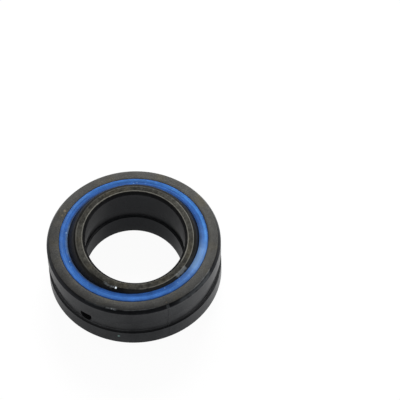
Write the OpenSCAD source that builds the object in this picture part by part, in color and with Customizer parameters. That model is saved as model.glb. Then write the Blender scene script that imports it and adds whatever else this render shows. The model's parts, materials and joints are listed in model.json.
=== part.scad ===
// Spherical plain bearing with a lip seal on each side.
// The inner ring stands on its lower face, with its bore along Z and the ball's centre at the origin.
// The outer ring rides on the ball.
// It leans towards +Y until its rim meets the plane that the inner ring stands on.
// All lengths are in millimetres and all angles in degrees.

/* [Inner ring] */
// Diameter of the bore
bore_d = 20; // [16:0.5:24]
// Wall of the inner ring at the middle of the ball
inner_wall = 4.5; // [4:0.1:6]
// Width of the inner ring
inner_w = 16; // [14.5:0.1:17]
// Chamfer at both ends of the bore
bore_chamfer = 0.55; // [0.2:0.05:0.8]
// How far the chamfer at the ball's rims reaches into the faces
rim_in = 0.4; // [0.1:0.05:0.6]
// Slope of that chamfer
rim_slope = 27; // [15:1:35]

/* [Outer ring] */
// Wall of the outer ring at the middle of the ball
outer_wall = 3; // [2.6:0.1:6]
// Width of the outer ring
outer_w = 12; // [10.5:0.1:13.5]
// Lead chamfer at both ends, measured inwards
lead_in = 0.5; // [0.2:0.05:0.8]
// Lead chamfer at both ends, measured along the axis
lead_h = 0.95; // [0.3:0.05:1.5]
// Width of the crack that lets the ring spring over the ball
crack_w = 0.06; // [0.04:0.01:0.2]
// Place of the crack round the ring
crack_angle = 268.5; // [230:0.5:360]

/* [Lubrication] */
// Width of the groove round the outer ring
outer_groove_w = 3.3; // [2.8:0.1:5]
// Depth of the groove round the outer ring
outer_groove_h = 0.5; // [0.2:0.05:0.8]
// Diameter of the holes in the outer ring's groove
outer_hole_d = 2.6; // [1:0.1:2.7]
// Place of the first of these holes round the ring
outer_hole_angle = 211; // [180:0.5:230]
// Width of the groove round the bore
bore_groove_w = 3.6; // [2.8:0.1:5]
// Depth of the groove round the bore
bore_groove_h = 0.5; // [0.2:0.05:0.8]
// Diameter of the holes in the bore's groove
bore_hole_d = 2.3; // [1:0.1:2.7]
// Place of the first of these holes round the bore
bore_hole_angle = 335; // [0:1:359]

/* [Seals] */
// Depth of the seal's seat below the outer ring's face
seat_h = 2; // [1.8:0.05:2.6]
// Width of the seat's shoulder, from the ball at the ring's face to the seat's wall
seat_w = 1.8; // [1.6:0.05:1.9]
// How far the retaining bead reaches into the seat's wall
bead_in = 0.3; // [0.1:0.05:0.45]
// Height of the retaining bead
bead_h = 0.7; // [0.5:0.05:0.9]
// Height of the retaining bead's lower edge above the seat's floor
bead_up = 0.5; // [0.3:0.05:0.8]
// Slope at both edges of the retaining bead, measured along the axis
bead_slope = 0.2; // [0.05:0.05:0.2]
// Width of the seal's flat flange
flange_w = 0.75; // [0.5:0.05:0.8]
// Chamfer at the flange's outer edge
flange_edge = 0.14; // [0.05:0.01:0.2]
// How far the flange stands above the outer ring's face
seal_rise = 0.12; // [0.02:0.01:0.15]
// Width of the channel between the flange and the outer lip
channel_w = 0.35; // [0.25:0.05:0.5]
// Depth of that channel
channel_h = 0.08; // [0.06:0.02:0.3]
// How far the channel's bottom lies in from the flange
channel_in = 0.17; // [0.1:0.01:0.22]
// Depth of the outer lip's foot below the flange
lip_drop = 0.06; // [0.04:0.02:0.12]
// Height of the outer lip's tip above the flange
tip_rise = 0.03; // [0:0.01:0.04]
// Thickness of the outer lip below the channel
lip_root = 0.3; // [0.2:0.05:0.4]
// Depth of the pocket between the two lips
pocket_in = 0.2; // [0.1:0.05:0.25]
// Height of the inner lip's tip above the seal's foot
inner_lip_h = 0.42; // [0.2:0.02:0.6]
// How far the seal's foot stays back from the ball
foot_back = 0.15; // [0.1:0.05:0.3]

/* [Clearances] */
// Running gap between the ball and the outer ring, on the radius
race_gap = 0.03; // [0.02:0.01:0.06]
// Gap between the ball and the seals' lips, on the radius
lip_gap = 0.04; // [0.02:0.01:0.08]
// Gap between a seal and its seat
seat_gap = 0.03; // [0.02:0.01:0.08]
// Gap between the leaning rim and the plane the inner ring stands on
rim_gap = 0.02; // [0:0.01:0.2]

/* [Hidden] */

// Smoothness of the round shapes
$fn = 180;
// Overlap that lets a cut pass cleanly through a face
cut = 1;
// Number of holes in each groove, evenly spaced
hole_count = 2;

// Inner ring
bore_r = bore_d / 2;
ball_r = bore_r + inner_wall;
inner_top = inner_w / 2;

// Outer ring
outer_r = ball_r + outer_wall;
outer_top = outer_w / 2;
race_r = ball_r + race_gap;
rim_r = outer_r - lead_in;

// Lean at which the rim stands just clear of the plane under the inner ring
lean = asin((inner_top - rim_gap) / norm([outer_top, rim_r])) - atan2(outer_top, rim_r);

// Seal seat in the outer ring, measured on the upper side
seat_r = ball_at(0, outer_top) + seat_w;
seat_floor = outer_top - seat_h;
bead_low = seat_floor + bead_up;

// Radius of the ball, or of a surface a gap off it, at a height above its centre
function ball_at(gap, z) = sqrt((ball_r + gap) ^ 2 - z ^ 2);

// Outline of a bead or of its undercut, out from the seat's wall and back
function bead_points(wall_r, gap) = [
    [wall_r, bead_low + gap],
    [wall_r + bead_in, bead_low + bead_slope + gap],
    [wall_r + bead_in, bead_low + bead_h - bead_slope - gap],
    [wall_r, bead_low + bead_h - gap]
];

// Holes drilled square to the axis, evenly round it
module radial_holes(d, from_r, to_r, first_angle) {
    for (i = [0 : hole_count - 1])
        rotate([0, 0, first_angle + i * 360 / hole_count])
            translate([from_r, 0, 0])
                rotate([0, 90, 0])
                    cylinder(d = d, h = to_r - from_r);
}

// Room for one seal: the stepped seat and the undercut for its bead, on the upper side
module seal_room() {
    rotate_extrude()
        polygon(concat(
            [[0, seat_floor], [seat_r, seat_floor]],
            bead_points(seat_r, 0),
            [[seat_r, outer_top + cut], [0, outer_top + cut]]
        ));
}

// Turned blank of the outer ring: chamfered ends and the lubricating groove between two lands
module outer_blank() {
    groove_top = outer_groove_w / 2;
    groove_r = outer_r - outer_groove_h;
    rotate_extrude()
        polygon([
            [0, -outer_top], [rim_r, -outer_top], [outer_r, lead_h - outer_top],
            [outer_r, -groove_top], [groove_r, -groove_top],
            [groove_r, groove_top], [outer_r, groove_top],
            [outer_r, outer_top - lead_h], [rim_r, outer_top], [0, outer_top]
        ]);
}

// The crack, right through the ring at one place
module crack() {
    rotate([0, 0, crack_angle])
        translate([0, -crack_w / 2, -outer_top - cut])
            cube([outer_r + cut, crack_w, outer_w + 2 * cut]);
}

// Everything that rides on the ball leans with the outer ring
module leaning() {
    rotate([-lean, 0, 0])
        children();
}

module outer_ring() {
    color("#3a3b3a")
        leaning()
            difference() {
                outer_blank();
                sphere(r = race_r);
                seal_room();
                mirror([0, 0, 1]) seal_room();
                radial_holes(outer_hole_d, ball_r - cut, outer_r + cut, outer_hole_angle);
                crack();
            }
}

// Slice of the ball with chamfered rims
module inner_blank() {
    face_r = ball_at(0, inner_top) - rim_in;
    wide_r = ball_r + cut;
    wide_z = inner_top - (wide_r - face_r) * tan(rim_slope);
    intersection() {
        sphere(r = ball_r);
        rotate_extrude()
            polygon([
                [0, -inner_top], [face_r, -inner_top], [wide_r, -wide_z],
                [wide_r, wide_z], [face_r, inner_top], [0, inner_top]
            ]);
    }
}

module inner_ring() {
    groove_top = bore_groove_w / 2;
    groove_r = bore_r + bore_groove_h;
    mouth_r = bore_r + bore_chamfer;
    color("#2b2d2f")
        difference() {
            inner_blank();
            rotate_extrude()
                polygon([
                    [0, -inner_top - cut], [mouth_r, -inner_top - cut], [mouth_r, -inner_top],
                    [bore_r, bore_chamfer - inner_top],
                    [bore_r, -groove_top], [groove_r, -groove_top],
                    [groove_r, groove_top], [bore_r, groove_top],
                    [bore_r, inner_top - bore_chamfer],
                    [mouth_r, inner_top], [mouth_r, inner_top + cut], [0, inner_top + cut]
                ]);
            radial_holes(bore_hole_d, bore_r - cut, ball_r + cut, bore_hole_angle);
        }
}

// One seal on the upper side: flange, channel, outer lip and inner lip
module seal() {
    wall_r = seat_r - seat_gap;
    low = seat_floor + seat_gap;
    top = outer_top + seal_rise;
    flange_r = wall_r - flange_w;
    channel_z = top - channel_h;
    tip_z = top + tip_rise;
    pocket_z = channel_z - lip_root;
    inner_lip_z = low + inner_lip_h;
    rotate_extrude()
        polygon(concat(
            [[ball_at(lip_gap, low) + foot_back, low], [wall_r, low]],
            bead_points(wall_r, seat_gap),
            [
                [wall_r, top - flange_edge], [wall_r - flange_edge, top], [flange_r, top],
                [flange_r - channel_in, channel_z],
                [flange_r - channel_w, top - lip_drop],
                [ball_at(lip_gap, tip_z), tip_z],
                [ball_at(lip_gap, pocket_z) + pocket_in, pocket_z],
                [ball_at(lip_gap, inner_lip_z), inner_lip_z]
            ]
        ));
}

module upper_seal() {
    color("#3f74bd")
        leaning()
            seal();
}

module lower_seal() {
    color("#3f74bd")
        leaning()
            mirror([0, 0, 1]) seal();
}

outer_ring();
inner_ring();
upper_seal();
lower_seal();
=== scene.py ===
"""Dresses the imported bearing: two blackened steel rings and two blue lip seals on a pale floor."""
import json
import math
from collections import namedtuple

import bmesh
import bpy
from bpy.props import FloatProperty, FloatVectorProperty, PointerProperty
from mathutils import Matrix, Vector


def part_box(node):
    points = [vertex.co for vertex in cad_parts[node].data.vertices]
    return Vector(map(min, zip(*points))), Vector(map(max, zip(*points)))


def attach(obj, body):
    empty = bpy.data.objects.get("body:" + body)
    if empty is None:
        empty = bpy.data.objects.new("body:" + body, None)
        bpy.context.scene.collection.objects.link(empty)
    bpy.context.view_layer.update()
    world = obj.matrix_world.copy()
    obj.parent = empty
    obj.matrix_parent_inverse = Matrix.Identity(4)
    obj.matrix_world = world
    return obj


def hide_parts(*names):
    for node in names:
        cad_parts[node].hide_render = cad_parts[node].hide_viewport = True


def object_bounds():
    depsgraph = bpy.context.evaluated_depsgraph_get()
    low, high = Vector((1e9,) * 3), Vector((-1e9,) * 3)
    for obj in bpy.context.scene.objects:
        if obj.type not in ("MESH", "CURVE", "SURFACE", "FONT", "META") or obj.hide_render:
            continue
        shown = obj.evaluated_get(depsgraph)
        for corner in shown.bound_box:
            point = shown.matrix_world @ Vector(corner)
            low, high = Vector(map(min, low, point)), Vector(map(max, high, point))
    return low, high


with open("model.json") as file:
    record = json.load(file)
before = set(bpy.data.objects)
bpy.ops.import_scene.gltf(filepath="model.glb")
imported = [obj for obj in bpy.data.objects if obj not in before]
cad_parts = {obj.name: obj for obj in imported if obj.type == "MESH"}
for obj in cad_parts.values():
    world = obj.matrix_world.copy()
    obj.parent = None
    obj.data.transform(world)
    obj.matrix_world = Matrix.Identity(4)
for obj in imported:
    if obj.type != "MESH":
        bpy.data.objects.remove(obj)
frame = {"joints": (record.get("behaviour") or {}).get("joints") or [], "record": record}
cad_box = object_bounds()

bl_info = {
    "name": "Spherical Plain Bearing",
    "version": (1, 0, 0),
    "blender": (4, 5, 0),
    "location": "3D View > Sidebar > Bearing",
    "description": "Models and finishes a sealed spherical plain bearing on a studio floor",
    "category": "Object",
}

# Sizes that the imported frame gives
MM = 0.001
PER_MM = 1.0 / MM
MOUNTS = {mount["name"]: mount for mount in frame["record"]["mounts"]}
JOINTS = {joint["name"]: joint for joint in frame["joints"]}
BORE_R = MOUNTS["bore"]["dims"]["r_mm"] * MM
BORE_WALL = MOUNTS["bore"]["dims"]["length_mm"] * MM
OUTER_R = MOUNTS["outer_diameter"]["dims"]["r_mm"] * MM
OUTER_WALL = MOUNTS["outer_diameter"]["dims"]["length_mm"] * MM
INNER_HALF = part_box("inner_ring")[1].z
RING_AXIS = Vector(JOINTS["swivel"]["axis"])
LEAN = math.atan2(RING_AXIS.y, RING_AXIS.z)
LEANING = Matrix.Rotation(-LEAN, 4, "X")
# The floor lies a hair below the bearing, so that no face of it shares the floor's plane
FLOOR_GAP = 0.01 * MM
FLOOR_Z = cad_box[0][2] - FLOOR_GAP

# How finely the round shapes are divided
ROUND_STEPS = 240
RACE_STEPS = 16
CROWN_STEPS = 6
HOLE_STEPS = 48
CRACK_STEPS = 24
# Number of holes in each groove, evenly spaced
HOLE_COUNT = 2
# Cutters start and end clear of the wall that they go through, at these shares of its sizes
CUT_FROM = 0.9
CUT_TO = 1.1
# The crack's waves: turn for each millimetre of height, start, and share of the wander
CRACK_WAVES = ((1.9, 0.0, 1.0), (4.3, 1.0, 0.6))
# Corners that lie closer together than this are merged
MERGE = 0.0005 * MM
# Faces whose areas differ by more than this count as large and small ones when their edges are shaded
AREA_STEP = 0.01 * MM * MM
# How strongly the large ones count there
AREA_WEIGHT = 100
# Turn between two faces above which their edge is shaded as a sharp one
SHARP_TURN = math.radians(40.0)
# Half a stretch, in degrees, that goes right round a ring
ALL_ROUND = 1000.0

# Share of metal in how the blackened steel mirrors; the rest is the dull black itself
METAL_SHARE = 0.8
# How far the mottling darkens and lightens the steel away from the faces
PLAIN_MOTTLE = 0.1
# How much of the mirrored light the black lets through at a grazing look
GRAZING_TINT = 0.62

# Zones of the finishes, in millimetres of height or radius: where each starts and where it is full
LEAD_ZONE = (5.02, 5.1)
FACE_ZONE = (17.02, 16.9)
GROOVE_ZONE = (17.4, 17.2)
INNER_FACE_ZONE = (7.96, 7.985)
SLOPE_ZONE = (7.68, 7.72)
BORE_ZONE = (10.56, 10.53)
MOUTH_ZONE = (7.48, 7.68)
LIP_ZONE = (13.95, 13.4)
SEAM_ZONE = (14.82, 14.97)
# How far the colours change in the outer ring's groove, and how far painted shade darkens the seal at its
# seam
GROOVE_SHARE = 0.4
SEAM_SHARE = 0.6

# Roughness of the surfaces, and how strongly they mirror
LAND_ROUGH = 0.34
FACE_ROUGH = 0.36
BALL_ROUGH = 0.42
INNER_FACE_ROUGH = 0.38
BORE_ROUGH = 0.34
SEAL_ROUGH = (0.44, 0.58)
STEEL_SHEEN = 0.2
SEAL_SHEEN = 0.14
# How far patches and tool lines change the roughness of the steel, up and down
PATCH_GLOSS = 0.08
LINE_GLOSS = 0.05

# Sizes of grain, patches and lines, in millimetres
STEEL_GRAIN = 0.22
TINGE_SIZE = 5.0
TINGE_GRAIN = 0.6
TOOL_PITCH = 0.07
SEAL_MOTTLE = 1.6
SEAL_GRAIN = 0.14
SEAL_PITCH = 0.3
# How far flecks, patches and streaks darken and lighten a colour
STEEL_FLECKS = 0.24
SEAL_PATCHES = 0.16
SEAL_STREAKS = 0.24
SEAL_FLECKS = 0.2
# Values between which most of a noise lies
NOISE_RANGE = (0.3, 0.7)
# Values of the noise between which the olive tinge sets in, and its share there
TINGE_RANGE = (0.48, 0.68)
TINGE_SHARE = 0.6
# Depth of the fine relief, its strength on steel and on the seals, and the grain's part in it on steel
RELIEF = 0.01 * MM
STEEL_RELIEF = 0.12
SEAL_RELIEF = 0.15
GRAIN_RELIEF = 0.5

# Lumps to a millimetre that break up rims and spots
RIM_LUMPS = 1.3
SPOT_LUMPS = 2.6
# Distances, as shares of its reach, at which a mark starts and at which it is full
RIM_FADE = (1.0, 0.15)
STRETCH_FADE = (1.0, 0.6)
SPECK_FADE = (1.0, 0.5)
SPOT_FADE = (1.0, 0.35)
# How much of a rim's unevenness shows at the ends of its stretch
END_RAGGEDNESS = 0.4
# Reach of the smallest specks, as a share of their size
SMALLEST_SPECK = 0.4
# Scattered dust: spacing and size in millimetres, share of the places that hold a grain, and strength
DUST_SPACING = 0.7
DUST_SIZE = 0.16
DUST_SHARE = 0.2
DUST_STRENGTH = 0.2

# Alignments with the panel, or with the flag, at which the studio's parts start and are full
ROOM_FADE = (-0.2, 0.5)
PANEL_FADE = (0.5, 0.9)
FLAG_FADE = (0.86, 0.95)
# How far to the right the floor that metal shows goes on getting brighter
FLOOR_FADE = 22.0 * MM
# Nearest and farthest that the camera sees, in metres
CLIP = (0.01, 20.0)
WHITE = (1.0, 1.0, 1.0, 1.0)

# A mark along a rim, for wear, dirt, painted shade and painted sheen: its place in millimetres, its middle
# and half its stretch in degrees
RimMark = namedtuple("RimMark", "radius height width uneven middle stretch strength")
# A spot, for wear, rust, specks and the painted highlight: its place in millimetres and degrees, its reach
# in millimetres
Spot = namedtuple("Spot", "radius middle height reach ragged strength")
# Mottling of steel: size of its patches in millimetres, and how far they darken and lighten it
Mottle = namedtuple("Mottle", "size depth")


def length(name, description, default):
    """A length in metres that a user may change."""
    return FloatProperty(name=name, description=description, default=default, unit="LENGTH",
                         min=0.0, precision=5)


def angle(name, description, degrees):
    """An angle that a user may change, given here in degrees."""
    return FloatProperty(name=name, description=description, default=math.radians(degrees), subtype="ANGLE")


def colour(name, description, default):
    """A linear colour that a user may change."""
    return FloatVectorProperty(name=name, description=description, default=default, subtype="COLOR",
                               min=0.0, max=1.0)


def amount(name, description, default):
    """A plain number that a user may change."""
    return FloatProperty(name=name, description=description, default=default, min=0.0)


class InnerRingSizes(bpy.types.PropertyGroup):
    """Sizes of the ball-shaped inner ring."""

    bore_r: length("Bore radius", "Radius of the plain bore", BORE_R)
    ball_r: length("Ball radius", "Radius of the ball that the outer ring rides on", 14.5 * MM)
    half_w: length("Half width", "Half the width of the ring", INNER_HALF)
    mouth: length("Mouth chamfer", "Chamfer at both ends of the bore", INNER_HALF - BORE_WALL / 2)
    groove_w: length("Groove width", "Width of the lubricating groove round the bore", 3.6 * MM)
    groove_h: length("Groove depth", "Depth of the lubricating groove round the bore", 0.5 * MM)
    hole_d: length("Hole diameter", "Diameter of the holes from the groove to the ball", 2.3 * MM)
    hole_angle: angle("Hole place", "Place of the first hole round the bore", 335.0)
    rim_in: length("Rim width", "How far the sloped rim reaches in over the face", 0.4 * MM)
    rim_slope: angle("Rim slope", "Slope of the rim between the face and the ball", 27.0)
    rim_round: length("Rim rounding", "Rounding of the sloped rim's two edges", 0.08 * MM)
    mouth_round: length("Mouth rounding", "Rounding of the mouth's two edges", 0.06 * MM)
    groove_round: length("Groove rounding", "Rounding at the groove's bottom", 0.4 * MM)


class OuterRingSizes(bpy.types.PropertyGroup):
    """Sizes of the cracked outer ring and of the seats for the seals."""

    outer_r: length("Outer radius", "Radius of the lands that a housing holds", OUTER_R)
    half_w: length("Half width", "Half the width of the ring", 6.0 * MM)
    race_r: length("Race radius", "Radius of the hollow race that runs on the ball", 14.53 * MM)
    lead_in: length("Lead chamfer inwards", "How far the lead chamfer reaches in", 0.5 * MM)
    lead_low: length("Land end", "Height at which the lead chamfer meets the land", OUTER_WALL / 2)
    crown_r: length("Crown start", "Radius at which the face starts to fall away", 15.55 * MM)
    crown_fall: angle("Crown fall", "Slope of the face at its outer edge", 11.0)
    groove_w: length("Groove width", "Width of the lubricating groove round the ring", 3.3 * MM)
    groove_h: length("Groove depth", "Depth of the lubricating groove round the ring", 0.5 * MM)
    hole_d: length("Hole diameter", "Diameter of the holes in the groove", 2.6 * MM)
    hole_angle: angle("Hole place", "Place of the first hole round the ring", 211.0)
    crack_w: length("Crack width", "Width of the crack that lets the ring spring open", 0.04 * MM)
    crack_angle: angle("Crack place", "Place of the crack round the ring", 268.5)
    crack_wander: length("Crack wander", "How far the crack strays from a straight line", 0.05 * MM)
    face_round: length("Face rounding", "Rounding of the face's outer edge", 0.12 * MM)
    land_round: length("Land rounding", "Rounding of the lands' edges", 0.06 * MM)
    groove_round: length("Groove rounding", "Rounding at the groove's bottom", 0.42 * MM)
    seat_r: length("Seat radius", "Radius of the seal's seat", 15.0 * MM)
    seat_h: length("Seat depth", "Depth of the seal's seat below the face", 2.0 * MM)
    seat_round: length("Seat rounding", "Rounding of the seat's mouth", 0.04 * MM)


class SealSizes(bpy.types.PropertyGroup):
    """Sizes of the two lip seals and of the bead that holds them."""

    seat_gap: length("Seat gap", "Gap between a seal and its seat", 0.03 * MM)
    lip_gap: length("Lip gap", "Gap between the lips and the ball", 0.04 * MM)
    rise: length("Rise", "How far the flange stands above the outer ring's face", 0.12 * MM)
    bead_up: length("Bead height", "Height of the bead above the seat's floor", 0.5 * MM)
    bead_h: length("Bead width", "Width of the bead along the axis", 0.7 * MM)
    bead_in: length("Bead reach", "How far the bead reaches into the seat's wall", 0.3 * MM)
    bead_slope: length("Bead slope", "Slope at both edges of the bead", 0.2 * MM)
    flange_w: length("Flange width", "Width of the flat flange", 0.75 * MM)
    channel_w: length("Channel width", "Width of the channel beside the flange", 0.35 * MM)
    channel_h: length("Channel depth", "Depth of the channel", 0.08 * MM)
    channel_in: length("Channel offset", "How far the channel's bottom lies in from the flange", 0.17 * MM)
    lip_drop: length("Lip drop", "Depth of the outer lip's foot below the flange", 0.06 * MM)
    tip_rise: length("Tip rise", "Height of the outer lip's tip above the flange", 0.03 * MM)
    lip_root: length("Lip thickness", "Thickness of the outer lip below the channel", 0.3 * MM)
    pocket_in: length("Pocket", "Depth of the pocket between the two lips", 0.2 * MM)
    inner_lip_h: length("Inner lip", "Height of the inner lip's tip above the seal's foot", 0.42 * MM)
    foot_back: length("Foot", "How far the foot stays back from the ball", 0.15 * MM)
    dome_round: length("Flange rounding", "Rounding of both edges of the flange", 0.24 * MM)
    soft_round: length("Moulded rounding", "Rounding of the other moulded edges", 0.07 * MM)


class FinishColours(bpy.types.PropertyGroup):
    """Colours of the blackened steel, its wear and the seals, in linear light."""

    face: colour("Outer faces", "Blackened steel of the outer ring's faces", (0.054, 0.0537, 0.0512))
    patina: colour("Patina", "Olive tinge of the faces", (0.060, 0.054, 0.038))
    # Painted shade: a darker copy of the steel for the lead chamfers, also used for painted shade at the
    # seals and the outer ring's front
    lead: colour("Lead chamfers", "Blackened steel of the lead chamfers", (0.015, 0.016, 0.018))
    mouth: colour("Bore mouths", "Blackened chamfers at the bore's ends", (0.026, 0.026, 0.027))
    side: colour("Turned sides", "Blackened steel of the lands and grooves", (0.037, 0.038, 0.040))
    inner_face: colour("Inner faces", "Blackened steel of the inner ring's faces", (0.040, 0.039, 0.034))
    bore: colour("Bore", "Blackened steel of the bore", (0.054, 0.055, 0.057))
    # Painted shade on the far side of the bore
    film_and_shade: colour("Film", "Dark film on the far side of the bore", (0.011, 0.013, 0.0165))
    ball: colour("Ball", "Ground and blackened ball", (0.023, 0.023, 0.024))
    rim: colour("Rim", "Blackened slope between the inner ring's face and the ball", (0.013, 0.013, 0.013))
    rubbed: colour("Rubbed steel", "Steel that shows where the black has worn off", (0.36, 0.35, 0.31))
    rust: colour("Rust", "Rust specks on the face", (0.19, 0.155, 0.11))
    speck: colour("Speck", "Green speck on the lower land", (0.26, 0.44, 0.40))
    # Also the colour of the painted highlight on the inner ring's rim
    bare_steel_and_glint: colour("Bare steel", "Fresh nicks in the steel", (0.80, 0.87, 0.92))
    # Dust on the seal; at the right it also stands for painted sheen
    dust_and_sheen: colour("Dust", "Dust on the seal", (0.28, 0.44, 0.61))
    seal: colour("Seal", "Blue of the seal's flange", (0.0200, 0.075, 0.250))
    # Painted sheen on the flange's crest
    crest_sheen: colour("Seal crest", "Blue of the flange's polished crest", (0.0340, 0.124, 0.334))
    # Darker blue of the lip, also used as painted shade at the seal's seam
    seal_lip_and_seam_shade: colour("Seal lip", "Blue of the seal's outer lip", (0.0088, 0.041, 0.146))
    lip_film: colour("Lip film", "Grey film on the seal's outer lip", (0.030, 0.036, 0.042))


class StageSettings(bpy.types.PropertyGroup):
    """Camera, floor and lights."""

    azimuth: angle("Camera azimuth", "Camera's place round the bearing, from front to right", -25.36)
    elevation: angle("Camera elevation", "Camera's height above the floor's plane", 61.87)
    distance: length("Camera distance", "Distance from the ball's centre to the camera", 506.0 * MM)
    roll: angle("Camera roll", "Turn of the camera about its own line of sight", 3.76)
    aim: FloatVectorProperty(name="Aim", description="Point of the floor at the middle of the picture",
                             default=(19.75 * MM, 10.4 * MM, FLOOR_Z), subtype="TRANSLATION")
    lens: FloatProperty(name="Lens", description="Focal length in millimetres", default=225.0)
    floor_size: length("Floor size", "Side of the square floor", 4.0)
    floor_colour: colour("Floor", "Colour of the pale floor", (0.86, 0.86, 0.86))
    floor_lift: amount("Floor lift", "Share of plain white in what the camera sees of the floor", 0.95)
    floor_gleam: amount("Floor gleam", "Share of plain white in what metal shows of the floor", 0.36)
    floor_bright: amount("Floor bright side", "How much brighter metal shows the floor at the right", 0.8)
    fill: amount("Fill", "Strength of the even light from all round", 0.67)
    dark_side: amount("Dark side", "Strength of the unlit part of the studio that metal shows", 0.1)
    room: amount("Room", "Strength of the lit half of the studio that metal shows", 0.3)
    panel: amount("Panel", "Strength of the bright panel behind the bearing that metal shows", 1.95)
    panel_azimuth: angle("Panel azimuth", "Place of the panel round the bearing, from +X to +Y", 50.0)
    panel_elevation: angle("Panel elevation", "Height of the panel", 12.0)
    flag: amount("Flag", "How much a dark flag at the right takes from what metal shows", 0.85)
    flag_azimuth: angle("Flag azimuth", "Place of the flag round the bearing, from +X to +Y", 5.0)
    flag_elevation: angle("Flag elevation", "Height of the flag", 20.0)
    key_power: amount("Key", "Power of the softbox behind the bearing, in watts", 6.0)
    key_azimuth: angle("Key azimuth", "Place of the softbox round the bearing, from +X to +Y", 60.0)
    key_elevation: angle("Key elevation", "Height of the softbox", 48.0)
    key_distance: length("Key distance", "Distance of the softbox from the bearing", 0.7)
    key_size: length("Key size", "Side of the square softbox", 0.32)


# Modelling of turned and moulded sections

def join(bm, *corners):
    """Joins the corners of a section in order."""
    for first, second in zip(corners, corners[1:]):
        bm.edges.new((first, second))


def corner(bm, radius, height):
    """Adds one corner of a section, in the plane that holds the axis."""
    return bm.verts.new((radius, 0.0, height))


def arc(bm, start, centre, turn, steps):
    """Turns a corner round a centre, from outwards to upwards, and returns the arc's last corner."""
    swept = bmesh.ops.spin(bm, geom=[start], cent=(centre[0], 0.0, centre[1]), axis=(0.0, -1.0, 0.0),
                           angle=turn, steps=steps, use_merge=False)
    return [part for part in swept["geom_last"] if isinstance(part, bmesh.types.BMVert)][0]


def soften(bm, corners, width, steps=3):
    """Rounds corners of a section."""
    bmesh.ops.bevel(bm, geom=corners, offset=width, offset_type="OFFSET", segments=steps, profile=0.5,
                    affect="VERTICES", material=-1, clamp_overlap=False)


def mirror_section(bm):
    """Mirrors the upper half of a section to the lower side."""
    bmesh.ops.mirror(bm, geom=bm.verts[:] + bm.edges[:], matrix=Matrix.Identity(4), axis="Z",
                     merge_dist=MERGE)


def turn_section(bm):
    """Spins a section right round the axis to a closed solid."""
    bmesh.ops.spin(bm, geom=bm.verts[:] + bm.edges[:], cent=(0.0, 0.0, 0.0), axis=(0.0, 0.0, 1.0),
                   angle=math.tau, steps=ROUND_STEPS, use_merge=True)
    bmesh.ops.remove_doubles(bm, verts=bm.verts[:], dist=MERGE)
    bmesh.ops.recalc_face_normals(bm, faces=bm.faces[:])


def as_object(bm, name):
    """Turns a bmesh into an object in the scene."""
    mesh = bpy.data.meshes.new(name)
    bm.to_mesh(mesh)
    bm.free()
    piece = bpy.data.objects.new(name, mesh)
    bpy.context.scene.collection.objects.link(piece)
    return piece


def cut_out(piece, cutters):
    """Cuts other objects out of a piece and removes them."""
    for cutter in cutters:
        cut = piece.modifiers.new(cutter.name, "BOOLEAN")
        cut.operation = "DIFFERENCE"
        cut.solver = "EXACT"
        cut.object = cutter
    graph = bpy.context.evaluated_depsgraph_get()
    solid = bpy.data.meshes.new_from_object(piece.evaluated_get(graph))
    piece.modifiers.clear()
    old = piece.data
    piece.data = solid
    solid.name = piece.name
    bpy.data.meshes.remove(old)
    for cutter in cutters:
        bpy.data.meshes.remove(cutter.data)


def bead_corners(bm, seal, wall_r, low, gap):
    """Adds the corners of a bead or of its undercut, out from the seat's wall and back."""
    bead_r = wall_r + seal.bead_in
    high = low + seal.bead_h
    return [corner(bm, wall_r, low + gap),
            corner(bm, bead_r, low + seal.bead_slope + gap),
            corner(bm, bead_r, high - seal.bead_slope - gap),
            corner(bm, wall_r, high - gap)]


def drills(diameter, inner_r, outer_r, first_angle):
    """Makes the drills for holes through a wall, square to the axis and evenly round it."""
    from_r = inner_r * CUT_FROM
    to_r = outer_r * CUT_TO
    made = []
    for index in range(HOLE_COUNT):
        bm = bmesh.new()
        aim = Matrix.Rotation(first_angle + index * math.tau / HOLE_COUNT, 4, "Z")
        aim @= Matrix.Translation(((from_r + to_r) / 2, 0.0, 0.0))
        aim @= Matrix.Rotation(math.pi / 2, 4, "Y")
        bmesh.ops.create_cone(bm, cap_ends=True, segments=HOLE_STEPS, radius1=diameter / 2,
                              radius2=diameter / 2, depth=to_r - from_r, matrix=aim)
        made.append(as_object(bm, "drill_%d" % index))
    return made


def crack_blade(ring):
    """Makes the thin, slightly wandering blade that parts the outer ring."""
    from_r = ring.race_r * CUT_FROM
    to_r = ring.outer_r * CUT_TO
    reach = ring.half_w * CUT_TO
    bm = bmesh.new()
    line = []
    for index in range(CRACK_STEPS + 1):
        height = -reach + 2 * reach * index / CRACK_STEPS
        wave = sum(share * math.sin(turn * height * PER_MM + start) for turn, start, share in CRACK_WAVES)
        line.append(bm.verts.new((from_r, ring.crack_wander * wave, height)))
    join(bm, *line)
    grown = bmesh.ops.extrude_edge_only(bm, edges=bm.edges[:])
    outer_line = [part for part in grown["geom"] if isinstance(part, bmesh.types.BMVert)]
    bmesh.ops.translate(bm, verts=outer_line, vec=(to_r - from_r, 0.0, 0.0))
    bmesh.ops.solidify(bm, geom=bm.faces[:], thickness=ring.crack_w)
    bmesh.ops.recalc_face_normals(bm, faces=bm.faces[:])
    bmesh.ops.rotate(bm, verts=bm.verts[:], cent=(0.0, 0.0, 0.0),
                     matrix=Matrix.Rotation(ring.crack_angle, 3, "Z"))
    return as_object(bm, "crack_blade")


def finish_piece(piece, body, nodes, material, leans):
    """Puts a piece in its place on its body, smooths it and gives it its finish."""
    if leans:
        piece.data.transform(LEANING)
    piece.data.shade_smooth()
    piece.data.set_sharp_from_angle(angle=SHARP_TURN)
    weighted = piece.modifiers.new("flat faces stay flat", "WEIGHTED_NORMAL")
    weighted.keep_sharp = True
    weighted.weight = AREA_WEIGHT
    weighted.thresh = AREA_STEP
    piece.data.materials.clear()
    piece.data.materials.append(material)
    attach(piece, body)
    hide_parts(*nodes)


# Nodes that several finishes share

FLOAT = "NodeSocketFloat"
VECTOR = "NodeSocketVector"


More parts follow.
